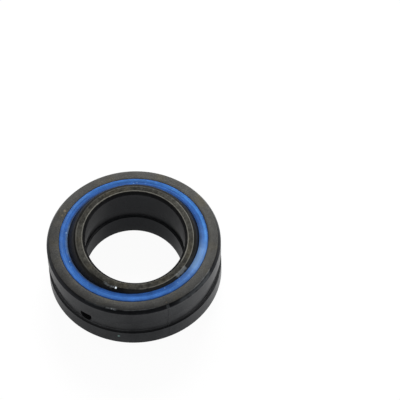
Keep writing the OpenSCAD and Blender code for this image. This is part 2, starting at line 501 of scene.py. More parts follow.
def place(tree, kind, inputs=None, **settings):
    """Adds a node, sets it and feeds each input from another socket or a plain value."""
    node = tree.nodes.new(kind)
    for name, value in settings.items():
        setattr(node, name, value)
    for name, value in (inputs or {}).items():
        if isinstance(value, bpy.types.NodeSocket):
            tree.links.new(value, node.inputs[name])
        else:
            node.inputs[name].default_value = value
    return node


def maths(tree, operation, first, second=0.0, third=0.0):
    """Adds a Math node and returns its result."""
    node = place(tree, "ShaderNodeMath", {0: first, 1: second, 2: third}, operation=operation)
    return node.outputs[0]


def ramp(tree, value, low, high, to_low=0.0, to_high=1.0):
    """Maps a value smoothly from one range to another and returns the result."""
    node = place(tree, "ShaderNodeMapRange",
                 {"Value": value, "From Min": low, "From Max": high, "To Min": to_low, "To Max": to_high},
                 interpolation_type="SMOOTHSTEP")
    return node.outputs["Result"]


def mix(tree, share, first, second, blend="MIX"):
    """Mixes two colours and returns the result."""
    node = place(tree, "ShaderNodeMix", data_type="RGBA", blend_type=blend)
    factor, colour_a, colour_b = node.inputs[0], node.inputs[6], node.inputs[7]
    for socket, value in ((factor, share), (colour_a, first), (colour_b, second)):
        if isinstance(value, bpy.types.NodeSocket):
            tree.links.new(value, socket)
        elif socket == factor:
            socket.default_value = value
        else:
            socket.default_value = (*value, 1.0)
    return node.outputs[2]


def noise(tree, point, scale, detail, roughness=0.5):
    """Adds a noise over points and returns its value."""
    node = place(tree, "ShaderNodeTexNoise",
                 {"Vector": point, "Scale": scale, "Detail": detail, "Roughness": roughness})
    return node.outputs[0]


def swing(tree, value, reach):
    """Turns a noise's value into a swing up and down, as far as the reach says."""
    return maths(tree, "MULTIPLY", maths(tree, "MULTIPLY_ADD", value, 2.0, -1.0), reach)


def alignment(tree, vector, way):
    """Adds the dot product of a vector and a way, and returns it."""
    node = place(tree, "ShaderNodeVectorMath", {0: vector, 1: way}, operation="DOT_PRODUCT")
    return node.outputs["Value"]


def new_group(name, inputs, outputs):
    """Starts a node group with named sockets and returns it with its two ends."""
    group = bpy.data.node_groups.new(name, "ShaderNodeTree")
    for socket, kind in inputs:
        group.interface.new_socket(name=socket, in_out="INPUT", socket_type=kind)
    for socket, kind in outputs:
        group.interface.new_socket(name=socket, in_out="OUTPUT", socket_type=kind)
    return group, group.nodes.new("NodeGroupInput"), group.nodes.new("NodeGroupOutput")


def use_group(tree, name, inputs):
    """Places a finished node group."""
    return place(tree, "ShaderNodeGroup", inputs, node_tree=bpy.data.node_groups[name])


def ring_coordinates_group():
    """Distance from the axis, heights along it and the direction round it, all in millimetres."""
    tree, ends, out = new_group("Ring coordinates", [("Point", VECTOR)],
                                [("Radius", FLOAT), ("Height", FLOAT), ("Upper height", FLOAT),
                                 ("Direction", VECTOR)])
    parts = place(tree, "ShaderNodeSeparateXYZ", {0: ends.outputs["Point"]})
    flat = place(tree, "ShaderNodeCombineXYZ", {"X": parts.outputs["X"], "Y": parts.outputs["Y"]})
    radius = place(tree, "ShaderNodeVectorMath", {0: flat.outputs[0]}, operation="LENGTH")
    way = place(tree, "ShaderNodeVectorMath", {0: flat.outputs[0]}, operation="NORMALIZE")
    tree.links.new(radius.outputs["Value"], out.inputs["Radius"])
    tree.links.new(maths(tree, "ABSOLUTE", parts.outputs["Z"]), out.inputs["Height"])
    tree.links.new(parts.outputs["Z"], out.inputs["Upper height"])
    tree.links.new(way.outputs["Vector"], out.inputs["Direction"])


def turning_marks_group():
    """Fine lines round a turned or moulded surface, fading in and out along their way."""
    tree, ends, out = new_group("Turning marks",
                                [("Radius", FLOAT), ("Height", FLOAT), ("Direction", VECTOR),
                                 ("Pitch", FLOAT)],
                                [("Lines", FLOAT)])
    across = maths(tree, "DIVIDE", ends.outputs["Radius"], ends.outputs["Pitch"])
    along = maths(tree, "DIVIDE", ends.outputs["Height"], ends.outputs["Pitch"])
    step = place(tree, "ShaderNodeCombineXYZ", {"Z": across})
    point = place(tree, "ShaderNodeVectorMath", {0: ends.outputs["Direction"], 1: step.outputs[0]},
                  operation="ADD")
    lines = place(tree, "ShaderNodeTexNoise",
                  {"Vector": point.outputs["Vector"], "W": along, "Scale": 1.0, "Detail": 2.0,
                   "Roughness": 0.6},
                  noise_dimensions="4D")
    tree.links.new(lines.outputs[0], out.inputs["Lines"])


def rim_mark_group():
    """Mask along a stretch of a rim, broken up along its length: wear and dirt, and painted shade and
    sheen.
    """
    tree, ends, out = new_group("Rim mark",
                                [("Point", VECTOR), ("Direction", VECTOR), ("Radius", FLOAT),
                                 ("Height", FLOAT), ("Rim radius", FLOAT), ("Rim height", FLOAT),
                                 ("Width", FLOAT), ("Unevenness", FLOAT), ("Middle", VECTOR),
                                 ("Stretch", FLOAT)],
                                [("Mask", FLOAT)])
    across = maths(tree, "SUBTRACT", ends.outputs["Radius"], ends.outputs["Rim radius"])
    along = maths(tree, "SUBTRACT", ends.outputs["Height"], ends.outputs["Rim height"])
    squares = maths(tree, "MULTIPLY_ADD", along, along, maths(tree, "MULTIPLY", across, across))
    away = maths(tree, "DIVIDE", maths(tree, "SQRT", squares), ends.outputs["Width"])
    lumps = noise(tree, ends.outputs["Point"], RIM_LUMPS, detail=4.0)
    uneven = swing(tree, lumps, ends.outputs["Unevenness"])
    rim = ramp(tree, maths(tree, "ADD", away, uneven), *RIM_FADE)
    facing = alignment(tree, ends.outputs["Direction"], ends.outputs["Middle"])
    turn = maths(tree, "DIVIDE", maths(tree, "ARCCOSINE", facing), ends.outputs["Stretch"])
    turn = maths(tree, "MULTIPLY_ADD", uneven, END_RAGGEDNESS, turn)
    tree.links.new(maths(tree, "MULTIPLY", rim, ramp(tree, turn, *STRETCH_FADE)), out.inputs["Mask"])


def specks_group():
    """Small scattered specks, of which only a share of the places holds one."""
    tree, ends, out = new_group("Specks",
                                [("Point", VECTOR), ("Spacing", FLOAT), ("Size", FLOAT), ("Share", FLOAT)],
                                [("Mask", FLOAT)])
    scale = maths(tree, "DIVIDE", 1.0, ends.outputs["Spacing"])
    cells = place(tree, "ShaderNodeTexVoronoi", {"Vector": ends.outputs["Point"], "Scale": scale})
    chance = place(tree, "ShaderNodeSeparateColor", {0: cells.outputs["Color"]})
    chosen = maths(tree, "LESS_THAN", chance.outputs[0], ends.outputs["Share"])
    reach = maths(tree, "DIVIDE", ends.outputs["Size"], ends.outputs["Spacing"])
    reach = maths(tree, "MULTIPLY", reach, maths(tree, "ADD", chance.outputs[1], SMALLEST_SPECK))
    near = maths(tree, "DIVIDE", cells.outputs["Distance"], reach)
    tree.links.new(maths(tree, "MULTIPLY", ramp(tree, near, *SPECK_FADE), chosen), out.inputs["Mask"])


def spot_mark_group():
    """Mask of one spot with a ragged edge, for wear, rust, specks and the painted highlight."""
    tree, ends, out = new_group("Spot mark",
                                [("Point", VECTOR), ("Centre", VECTOR), ("Reach", FLOAT),
                                 ("Raggedness", FLOAT)],
                                [("Mask", FLOAT)])
    away = place(tree, "ShaderNodeVectorMath", {0: ends.outputs["Point"], 1: ends.outputs["Centre"]},
                 operation="DISTANCE")
    near = maths(tree, "DIVIDE", away.outputs["Value"], ends.outputs["Reach"])
    lumps = noise(tree, ends.outputs["Point"], SPOT_LUMPS, detail=5.0, roughness=0.65)
    ragged = swing(tree, lumps, ends.outputs["Raggedness"])
    tree.links.new(ramp(tree, maths(tree, "ADD", near, ragged), *SPOT_FADE), out.inputs["Mask"])


def blotches_group():
    """Uneven tone of a blackened or moulded surface, coarse and fine."""
    tree, ends, out = new_group("Blotches", [("Point", VECTOR), ("Size", FLOAT), ("Grain", FLOAT)],
                                [("Coarse", FLOAT), ("Fine", FLOAT)])
    for tone, size, detail, roughness in (("Coarse", "Size", 4.0, 0.55), ("Fine", "Grain", 3.0, 0.6)):
        scale = maths(tree, "DIVIDE", 1.0, ends.outputs[size])
        value = noise(tree, ends.outputs["Point"], scale, detail, roughness)
        tree.links.new(value, out.inputs[tone])


def make_groups():
    """Builds every shared node group once."""
    if "Ring coordinates" in bpy.data.node_groups:
        return
    ring_coordinates_group()
    turning_marks_group()
    rim_mark_group()
    specks_group()
    spot_mark_group()
    blotches_group()


def new_material(name):
    """Starts a material and returns it with its tree and its Principled shader."""
    material = bpy.data.materials.new(name)
    material.use_nodes = True
    tree = material.node_tree
    return material, tree, tree.nodes["Principled BSDF"]


def millimetre_point(tree, lean):
    """Object coordinates in millimetres, turned back from the lean so that the ring's axis is Z."""
    coordinates = place(tree, "ShaderNodeTexCoord")
    turned = place(tree, "ShaderNodeMapping", {"Vector": coordinates.outputs["Object"],
                                               "Rotation": (lean, 0.0, 0.0),
                                               "Scale": (PER_MM, PER_MM, PER_MM)})
    return turned.outputs["Vector"]


def ring_place(radius, degrees, height):
    """A point of a ring, in millimetres, from its radius, its place round the ring and its height."""
    return (radius * math.cos(math.radians(degrees)), radius * math.sin(math.radians(degrees)), height)


def ring_lines(tree, ring, pitch):
    """Places the lines that a tool or a mould leaves round a ring."""
    marks = use_group(tree, "Turning marks",
                      {"Radius": ring.outputs["Radius"], "Height": ring.outputs["Height"],
                       "Direction": ring.outputs["Direction"], "Pitch": pitch})
    return marks.outputs["Lines"]


def shaded(tree, base, tone):
    """Multiplies a colour by a tone."""
    grey = place(tree, "ShaderNodeCombineColor", {0: tone, 1: tone, 2: tone})
    return mix(tree, 1.0, base, grey.outputs[0], "MULTIPLY")


def varied(tree, base, value, spread):
    """Darkens and brightens a colour by a noise's value, as far as the spread says."""
    return shaded(tree, base, ramp(tree, value, *NOISE_RANGE, 1.0 - spread, 1.0 + spread))


def most(tree, masks):
    """Joins masks by taking the strongest at each place."""
    joined = masks[0]
    for mask in masks[1:]:
        joined = maths(tree, "MAXIMUM", joined, mask)
    return joined


def rim_marks(tree, point, ring, rims):
    """Joins the masks of marked rims; one that goes right round shows on both sides of the ring."""
    masks = []
    for rim in rims:
        height = "Height" if rim.stretch == ALL_ROUND else "Upper height"
        mask = use_group(tree, "Rim mark", {
            "Point": point, "Direction": ring.outputs["Direction"],
            "Radius": ring.outputs["Radius"], "Height": ring.outputs[height],
            "Rim radius": rim.radius, "Rim height": rim.height,
            "Width": rim.width, "Unevenness": rim.uneven,
            "Middle": ring_place(1.0, rim.middle, 0.0), "Stretch": math.radians(rim.stretch),
        })
        masks.append(maths(tree, "MULTIPLY", mask.outputs["Mask"], rim.strength))
    return most(tree, masks)


def spot_marks(tree, point, spots):
    """Joins the masks of several worn spots."""
    masks = []
    for spot in spots:
        mask = use_group(tree, "Spot mark", {
            "Point": point, "Reach": spot.reach, "Raggedness": spot.ragged,
            "Centre": ring_place(spot.radius, spot.middle, spot.height),
        })
        masks.append(maths(tree, "MULTIPLY", mask.outputs["Mask"], spot.strength))
    return most(tree, masks)


def steel_surface(tree, shader, point, ring, base, on_face, mottle, rough, rubbed, nicks_and_glint, colours):
    """Tone, gloss, wear with the painted highlight, and fine relief that both blackened rings share."""
    tones = use_group(tree, "Blotches", {"Point": point, "Size": mottle.size, "Grain": STEEL_GRAIN})
    lines = ring_lines(tree, ring, TOOL_PITCH)
    tinge = use_group(tree, "Blotches", {"Point": point, "Size": TINGE_SIZE, "Grain": TINGE_GRAIN})
    tinge = ramp(tree, tinge.outputs["Coarse"], *TINGE_RANGE, 0.0, TINGE_SHARE)
    base = mix(tree, maths(tree, "MULTIPLY", tinge, on_face), base, colours.patina)
    depth = ramp(tree, on_face, 0.0, 1.0, PLAIN_MOTTLE, mottle.depth)
    patches = ramp(tree, tones.outputs["Coarse"], *NOISE_RANGE, -1.0, 1.0)
    base = shaded(tree, base, maths(tree, "MULTIPLY_ADD", patches, depth, 1.0))
    base = varied(tree, base, tones.outputs["Fine"], STEEL_FLECKS)
    base = mix(tree, rubbed, base, colours.rubbed)
    base = mix(tree, nicks_and_glint, base, colours.bare_steel_and_glint)
    gloss = maths(tree, "ADD", rough, swing(tree, tones.outputs["Coarse"], PATCH_GLOSS))
    gloss = maths(tree, "ADD", gloss, swing(tree, lines, LINE_GLOSS))
    relief = maths(tree, "MULTIPLY_ADD", tones.outputs["Fine"], GRAIN_RELIEF, lines)
    bump = place(tree, "ShaderNodeBump", {"Strength": STEEL_RELIEF, "Distance": RELIEF, "Height": relief})
    # Where the wear marks and the painted highlight lie, the steel loses its metal and shows a pale dull
    # colour
    metal = maths(tree, "MULTIPLY_ADD", nicks_and_glint, -METAL_SHARE, METAL_SHARE)
    tree.links.new(base, shader.inputs["Base Color"])
    tree.links.new(gloss, shader.inputs["Roughness"])
    tree.links.new(metal, shader.inputs["Metallic"])
    tree.links.new(bump.outputs["Normal"], shader.inputs["Normal"])
    shader.inputs["Specular IOR Level"].default_value = STEEL_SHEEN
    shader.inputs["Specular Tint"].default_value = (GRAZING_TINT, GRAZING_TINT, GRAZING_TINT, 1.0)


def outer_steel(colours):
    """Blackened steel of the outer ring, with rubbed rims, rust, painted shade and the marks of handling.
    """
    material, tree, shader = new_material("blackened_outer_steel")
    point = millimetre_point(tree, LEAN)
    ring = use_group(tree, "Ring coordinates", {"Point": point})
    above_land = ramp(tree, ring.outputs["Height"], *LEAD_ZONE)
    on_face = maths(tree, "MULTIPLY", above_land, ramp(tree, ring.outputs["Radius"], *FACE_ZONE))
    in_groove = ramp(tree, ring.outputs["Radius"], *GROOVE_ZONE, 0.0, GROOVE_SHARE)
    base = mix(tree, in_groove, colours.side, colours.bore)
    # The lead chamfers get painted shade, a darker copy of the steel
    base = mix(tree, above_land, base, colours.lead)
    base = mix(tree, on_face, base, colours.face)
    painted_shade = rim_marks(tree, point, ring, [
        # Painted shade beside the seal at the right, and fainter at the left
        RimMark(15.08, 6.0, 0.24, 0.3, 350.0, 26.0, 0.5),
        RimMark(15.5, 6.0, 0.9, 0.3, 170.0, 48.0, 0.12),
        # Painted shade at the face's front edge, and on the front of the side
        RimMark(17.05, 5.86, 0.35, 0.3, 240.0, 29.0, 0.6),
        RimMark(16.8, 5.9, 1.0, 0.3, 240.0, 29.0, 0.28),
        RimMark(17.5, 0.0, 8.0, 0.1, 260.0, 27.0, 0.42),
    ])
    rust = spot_marks(tree, point, [
        # Two specks at the left with a faint bloom round them, and one by the crack
        Spot(15.68, 127.8, 6.0, 0.42, 0.6, 0.95),
        Spot(15.66, 132.5, 6.0, 0.28, 0.6, 0.5),
        Spot(16.0, 140.5, 6.0, 1.1, 0.6, 0.06),
        Spot(16.57, 268.8, 5.93, 0.22, 0.6, 0.4),
    ])
    speck = spot_marks(tree, point, [Spot(17.5, 235.0, -2.92, 0.34, 0.5, 0.6)])
    base = mix(tree, painted_shade, base, colours.lead)
    base = mix(tree, rust, base, colours.rust)
    base = mix(tree, speck, base, colours.speck)
    rubbed = rim_marks(tree, point, ring, [
        # Outer edge of both faces, and the inner part of the upper face at the right
        RimMark(16.95, 5.87, 0.12, 0.9, 0.0, ALL_ROUND, 0.06),
        RimMark(15.4, 6.0, 0.9, 0.3, 15.0, 100.0, 0.032),
    ])
    scuffs = rim_marks(tree, point, ring, [
        # Along the face's outer edge
        RimMark(17.0, 5.85, 0.28, 0.9, 230.5, 5.0, 0.1),
        RimMark(17.06, 5.8, 0.32, 0.8, 219.0, 9.0, 0.05),
        RimMark(16.97, 5.86, 0.14, 0.9, 250.0, 15.0, 0.07),
        RimMark(16.98, 5.86, 0.2, 0.9, 299.0, 14.0, 0.1),
        # On the lead chamfer to the right of the crack, and at the crack itself
        RimMark(17.24, 5.45, 0.6, 0.7, 292.0, 18.0, 0.055),
        RimMark(17.24, 5.45, 0.7, 0.2, 268.8, 1.3, 0.07),
    ])
    chips = spot_marks(tree, point, [
        # A row of small chips in the face's outer edge
        Spot(16.97, 229.0, 5.86, 0.14, 0.5, 0.2),
        Spot(17.01, 230.9, 5.84, 0.14, 0.5, 0.4),
        Spot(17.04, 232.6, 5.8, 0.14, 0.5, 0.35),
        Spot(17.08, 233.5, 5.74, 0.1, 0.5, 0.3),
    ])
    nicks_and_glint = most(tree, [scuffs, chips])
    rough = ramp(tree, on_face, 0.0, 1.0, LAND_ROUGH, FACE_ROUGH)
    mottle = Mottle(2.4, 0.14)
    steel_surface(tree, shader, point, ring, base, on_face, mottle, rough, rubbed, nicks_and_glint, colours)
    return material


def inner_steel(colours):
    """Blackened steel of the inner ring: mottled faces, a plain bore and a dull ball, with worn rims,
    painted shade in the bore and a painted highlight.
    """
    material, tree, shader = new_material("blackened_inner_steel")
    point = millimetre_point(tree, 0.0)
    ring = use_group(tree, "Ring coordinates", {"Point": point})
    on_face = ramp(tree, ring.outputs["Height"], *INNER_FACE_ZONE)
    on_slope = ramp(tree, ring.outputs["Height"], *SLOPE_ZONE)
    in_bore = ramp(tree, ring.outputs["Radius"], *BORE_ZONE)
    in_mouth = maths(tree, "MULTIPLY", in_bore, ramp(tree, ring.outputs["Height"], *MOUTH_ZONE))
    film_and_shade = rim_marks(tree, point, ring, [
        # Painted shade on the far side of the bore, above its groove and below
        RimMark(10.0, 4.0, 9.0, 0.1, 52.0, 66.0, 0.54),
        RimMark(10.0, -4.0, 6.0, 0.1, 54.0, 66.0, 0.64),
    ])
    base = mix(tree, on_slope, colours.ball, colours.rim)
    base = mix(tree, on_face, base, colours.inner_face)
    base = mix(tree, in_bore, base, mix(tree, film_and_shade, colours.bore, colours.film_and_shade))
    base = mix(tree, in_mouth, base, colours.mouth)
    rubbed = rim_marks(tree, point, ring, [
        # Edge between the face and the rim's slope
        RimMark(11.69, 8.0, 0.12, 0.6, 0.0, ALL_ROUND, 0.06),
        RimMark(11.69, 8.0, 0.16, 0.6, 314.0, 78.0, 0.36),
        RimMark(11.82, 7.95, 0.24, 0.4, 168.0, 38.0, 0.34),
        # The slope itself
        RimMark(12.05, 7.85, 0.5, 0.3, 203.0, 26.0, 0.06),
        RimMark(12.3, 7.7, 0.8, 0.3, 335.0, 38.0, 0.05),
        # Edge between the face and the bore's mouth
        RimMark(10.58, 8.0, 0.12, 0.4, 0.0, ALL_ROUND, 0.08),
        RimMark(10.67, 8.0, 0.16, 0.6, 78.0, 80.0, 0.46),
        RimMark(10.64, 8.0, 0.16, 0.5, 156.0, 40.0, 0.3),
        RimMark(10.62, 8.0, 0.16, 0.5, 342.0, 44.0, 0.46),
        # Paler stretches of the face, and of the groove in the bore
        RimMark(11.1, 8.0, 0.75, 0.4, 14.0, 32.0, 0.06),
        RimMark(11.1, 8.0, 0.75, 0.4, 338.0, 26.0, 0.035),
        RimMark(11.1, 8.0, 0.75, 0.4, 165.0, 30.0, 0.045),
        RimMark(10.5, 0.0, 1.8, 0.2, 350.0, 34.0, 0.12),
    ])
    scuffs = rim_marks(tree, point, ring, [
        # Two scuffed places on the rim's slope, and a faint haze along its front
        RimMark(11.92, 7.88, 0.36, 0.9, 220.5, 7.0, 0.16),
        RimMark(11.98, 7.85, 0.6, 0.7, 296.0, 8.5, 0.2),
        RimMark(12.2, 7.75, 0.8, 0.4, 276.0, 50.0, 0.028),
    ])
    glint = spot_marks(tree, point, [
        # A painted highlight on the rim's slope, with small scuffs beside it
        Spot(11.92, 227.1, 7.88, 0.3, 0.25, 1.0),
        Spot(11.92, 224.6, 7.88, 0.17, 0.5, 0.42),
        Spot(11.94, 222.4, 7.87, 0.17, 0.6, 0.36),
        Spot(11.94, 219.4, 7.87, 0.26, 0.6, 0.16),
    ])
    nicks_and_glint = most(tree, [scuffs, glint])
    rough = ramp(tree, on_face, 0.0, 1.0, BALL_ROUGH, INNER_FACE_ROUGH)
    rough = ramp(tree, in_bore, 0.0, 1.0, rough, BORE_ROUGH)
    mottle = Mottle(0.8, 0.44)
    steel_surface(tree, shader, point, ring, base, on_face, mottle, rough, rubbed, nicks_and_glint, colours)
    return material


def seal_blue(colours):
    """Moulded blue elastomer: painted sheen and shade, a film on its lip, and dust that at the right adds
    painted sheen.
    """
    material, tree, shader = new_material("moulded_blue_seal")
    point = millimetre_point(tree, LEAN)
    ring = use_group(tree, "Ring coordinates", {"Point": point})
    tones = use_group(tree, "Blotches", {"Point": point, "Size": SEAL_MOTTLE, "Grain": SEAL_GRAIN})
    on_lip = ramp(tree, ring.outputs["Radius"], *LIP_ZONE)
    # Painted shade at the seam between the seal and its seat
    seam = ramp(tree, ring.outputs["Radius"], *SEAM_ZONE, 0.0, SEAM_SHARE)
    crest = rim_marks(tree, point, ring, [
        # Painted sheen on the flange's crest, at the right, at the far side and at the front
        RimMark(14.45, 6.12, 0.45, 0.25, 4.0, 44.0, 1.0),
        RimMark(14.45, 6.12, 0.45, 0.25, 78.0, 62.0, 0.5),
        RimMark(14.3, 6.12, 0.45, 0.25, 230.0, 80.0, 0.4),
    ])
    # Painted shade at the lip's inner edge, at the far left, where it meets the ball
    painted_shade = rim_marks(tree, point, ring, [RimMark(13.25, 6.13, 0.5, 0.3, 105.0, 45.0, 0.5)])
    film_and_shade = rim_marks(tree, point, ring, [RimMark(13.15, 6.13, 0.46, 0.3, 172.0, 54.0, 0.72)])
    base = mix(tree, on_lip, colours.seal, colours.seal_lip_and_seam_shade)
    base = mix(tree, seam, base, colours.seal_lip_and_seam_shade)
    base = mix(tree, crest, base, colours.crest_sheen)
    base = mix(tree, painted_shade, base, colours.lead)
    base = mix(tree, film_and_shade, base, colours.lip_film)
    base = varied(tree, base, tones.outputs["Coarse"], SEAL_PATCHES)
    base = varied(tree, base, ring_lines(tree, ring, SEAL_PITCH), SEAL_STREAKS)
    base = varied(tree, base, tones.outputs["Fine"], SEAL_FLECKS)
    dust_and_sheen = rim_marks(tree, point, ring, [
        # A patch at the right that thins out to both sides, dust together with painted sheen
        RimMark(14.0, 6.1, 1.4, 0.15, 314.5, 15.0, 0.3),
        RimMark(14.0, 6.1, 1.4, 0.15, 314.5, 21.0, 0.19),
        RimMark(14.0, 6.1, 1.4, 0.15, 314.5, 28.0, 0.11),
        RimMark(14.0, 6.1, 1.4, 0.15, 316.0, 40.0, 0.07),
        # Thin lines of it at the left
        RimMark(14.5, 6.12, 0.4, 0.5, 125.0, 24.0, 0.06),
        RimMark(14.45, 6.12, 0.4, 0.5, 165.0, 30.0, 0.05),
        RimMark(13.5, 6.12, 0.36, 0.5, 155.0, 20.0, 0.1),
    ])
    grains = use_group(tree, "Specks", {"Point": point, "Spacing": DUST_SPACING, "Size": DUST_SIZE,
                                        "Share": DUST_SHARE})
    grains = maths(tree, "MULTIPLY", grains.outputs["Mask"], DUST_STRENGTH)
    marks = spot_marks(tree, point, [
        # Two pale marks at the left
        Spot(13.62, 147.9, 6.06, 0.2, 0.5, 0.6),
        Spot(13.7, 177.9, 6.06, 0.16, 0.5, 0.5),
    ])
    base = mix(tree, most(tree, [dust_and_sheen, grains, marks]), base, colours.dust_and_sheen)
    rough = ramp(tree, tones.outputs["Coarse"], *NOISE_RANGE, *SEAL_ROUGH)
    bump = place(tree, "ShaderNodeBump", {"Strength": SEAL_RELIEF, "Distance": RELIEF,
                                          "Height": tones.outputs["Fine"]})
    tree.links.new(base, shader.inputs["Base Color"])
    tree.links.new(rough, shader.inputs["Roughness"])
    tree.links.new(bump.outputs["Normal"], shader.inputs["Normal"])
    shader.inputs["Specular IOR Level"].default_value = SEAL_SHEEN
    return material


# Light of the studio

def direction(azimuth, elevation):
    """The way to a place round the bearing, from its azimuth (from +X to +Y) and its elevation."""
    level = math.cos(elevation)
    return Vector((level * math.cos(azimuth), level * math.sin(azimuth), math.sin(elevation)))


def mirrored_light(tree, path):
    """Marks the light that goes by way of a mirroring or clear surface."""
    return maths(tree, "MAXIMUM", path.outputs["Is Glossy Ray"], path.outputs["Is Transmission Ray"])


# Operators, one for each piece or pair of like pieces and one for the stage

class BEARING_OT_inner_ring(bpy.types.Operator):
    """Turn the ball-shaped inner ring with its bore, groove and holes"""

    bl_idname = "bearing.inner_ring"
    bl_label = "Inner Ring"

    def execute(self, context):
        ring = context.scene.bearing_inner
        groove_r = ring.bore_r + ring.groove_h
        groove_top = ring.groove_w / 2
        bm = bmesh.new()
        equator = corner(bm, ring.ball_r, 0.0)
        flat_r = math.sqrt(ring.ball_r ** 2 - ring.half_w ** 2) - ring.rim_in
        rim_away = flat_r * math.sin(ring.rim_slope) + ring.half_w * math.cos(ring.rim_slope)
        rim_turn = math.pi / 2 - ring.rim_slope - math.acos(rim_away / ring.ball_r)
        rim = arc(bm, equator, (0.0, 0.0), rim_turn, RACE_STEPS)
        flat_edge = corner(bm, flat_r, ring.half_w)
        mouth_out = corner(bm, ring.bore_r + ring.mouth, ring.half_w)
        mouth_in = corner(bm, ring.bore_r, ring.half_w - ring.mouth)
        groove_edge = corner(bm, ring.bore_r, groove_top)
        groove_root = corner(bm, groove_r, groove_top)
        groove_mid = corner(bm, groove_r, 0.0)
        join(bm, rim, flat_edge, mouth_out, mouth_in, groove_edge, groove_root, groove_mid)
        soften(bm, [rim, flat_edge], ring.rim_round, steps=4)
        soften(bm, [mouth_out, mouth_in, groove_edge], ring.mouth_round)
        soften(bm, [groove_root], ring.groove_round, steps=6)
        mirror_section(bm)
        turn_section(bm)
        piece = as_object(bm, "inner_ring_turned")
        cut_out(piece, drills(ring.hole_d, ring.bore_r, ring.ball_r, ring.hole_angle))
        make_groups()
        finish = inner_steel(context.scene.bearing_colours)
        finish_piece(piece, "inner", ["inner_ring"], finish, leans=False)
        return {"FINISHED"}


class BEARING_OT_outer_ring(bpy.types.Operator):
    """Turn the outer ring with its race, seats, groove and holes, and crack it"""

    bl_idname = "bearing.outer_ring"
    bl_label = "Outer Ring"

    def execute(self, context):
        ring = context.scene.bearing_outer
        seal = context.scene.bearing_seal
        seat_floor = ring.half_w - ring.seat_h
        face_edge = ring.outer_r - ring.lead_in
        crown_radius = (face_edge - ring.crown_r) / math.sin(ring.crown_fall)
        groove_r = ring.outer_r - ring.groove_h
        groove_top = ring.groove_w / 2
        bm = bmesh.new()
        equator = corner(bm, ring.race_r, 0.0)
        race_end = arc(bm, equator, (0.0, 0.0), math.asin(seat_floor / ring.race_r), RACE_STEPS)
        seat_root = corner(bm, ring.seat_r, seat_floor)
        undercut = bead_corners(bm, seal, ring.seat_r, seat_floor + seal.bead_up, 0.0)
        seat_mouth = corner(bm, ring.seat_r, ring.half_w)
        crown_start = corner(bm, ring.crown_r, ring.half_w)
        crown_centre = (ring.crown_r, ring.half_w - crown_radius)
        crown_end = arc(bm, crown_start, crown_centre, -ring.crown_fall, CROWN_STEPS)
        land_top = corner(bm, ring.outer_r, ring.lead_low)
        land_low = corner(bm, ring.outer_r, groove_top)
        groove_root = corner(bm, groove_r, groove_top)
        groove_mid = corner(bm, groove_r, 0.0)
        join(bm, race_end, seat_root, *undercut, seat_mouth, crown_start)
        join(bm, crown_end, land_top, land_low, groove_root, groove_mid)
        soften(bm, [seat_mouth], ring.seat_round)
        soften(bm, [crown_end], ring.face_round, steps=5)
        soften(bm, [land_top, land_low], ring.land_round)
        soften(bm, [groove_root], ring.groove_round, steps=6)
        mirror_section(bm)
        turn_section(bm)
        piece = as_object(bm, "outer_ring_turned")
        cutters = drills(ring.hole_d, ring.race_r, ring.outer_r, ring.hole_angle)
        cutters.append(crack_blade(ring))
        cut_out(piece, cutters)
        make_groups()
        finish = outer_steel(context.scene.bearing_colours)
        finish_piece(piece, "outer", ["outer_ring"], finish, leans=True)
        return {"FINISHED"}


class BEARING_OT_seals(bpy.types.Operator):
    """Mould the two blue lip seals"""

    bl_idname = "bearing.seals"
    bl_label = "Lip Seals"

    def section(self, bm, ring, seal, ball_r):
        """Draws the section of the upper seal: flange, channel, outer lip and inner lip."""
        wall_r = ring.seat_r - seal.seat_gap
        seat_floor = ring.half_w - ring.seat_h
        low = seat_floor + seal.seat_gap
        top = ring.half_w + seal.rise
        flange_r = wall_r - seal.flange_w
        channel_z = top - seal.channel_h
        tip_z = top + seal.tip_rise
        pocket_z = channel_z - seal.lip_root
        inner_lip_z = low + seal.inner_lip_h

        def wipe(height):
            """Radius at which a lip wipes the ball."""
            return math.sqrt((ball_r + seal.lip_gap) ** 2 - height ** 2)

        foot = corner(bm, wipe(low) + seal.foot_back, low)
        heel = corner(bm, wall_r, low)
        bead = bead_corners(bm, seal, wall_r, seat_floor + seal.bead_up, seal.seat_gap)
        flange_out = corner(bm, wall_r, top)
        flange_in = corner(bm, flange_r, top)
        channel = corner(bm, flange_r - seal.channel_in, channel_z)
        lip_foot = corner(bm, flange_r - seal.channel_w, top - seal.lip_drop)
        tip = corner(bm, wipe(tip_z), tip_z)
        pocket = corner(bm, wipe(pocket_z) + seal.pocket_in, pocket_z)
        inner_lip = corner(bm, wipe(inner_lip_z), inner_lip_z)
        join(bm, foot, heel, *bead, flange_out, flange_in, channel, lip_foot, tip, pocket, inner_lip,
             foot)
        soften(bm, [flange_out, flange_in], seal.dome_round, steps=6)
        soften(bm, [channel, lip_foot, tip, pocket], seal.soft_round, steps=4)

    def execute(self, context):
        ring = context.scene.bearing_outer
        seal = context.scene.bearing_seal
        make_groups()
        blue = seal_blue(context.scene.bearing_colours)
        for node, side in (("upper_seal", 1.0), ("lower_seal", -1.0)):
            bm = bmesh.new()
            self.section(bm, ring, seal, context.scene.bearing_inner.ball_r)
            bmesh.ops.scale(bm, vec=(1.0, 1.0, side), verts=bm.verts[:])
            turn_section(bm)
            piece = as_object(bm, node + "_moulded")
            finish_piece(piece, "seals", [node], blue, leans=True)
        return {"FINISHED"}


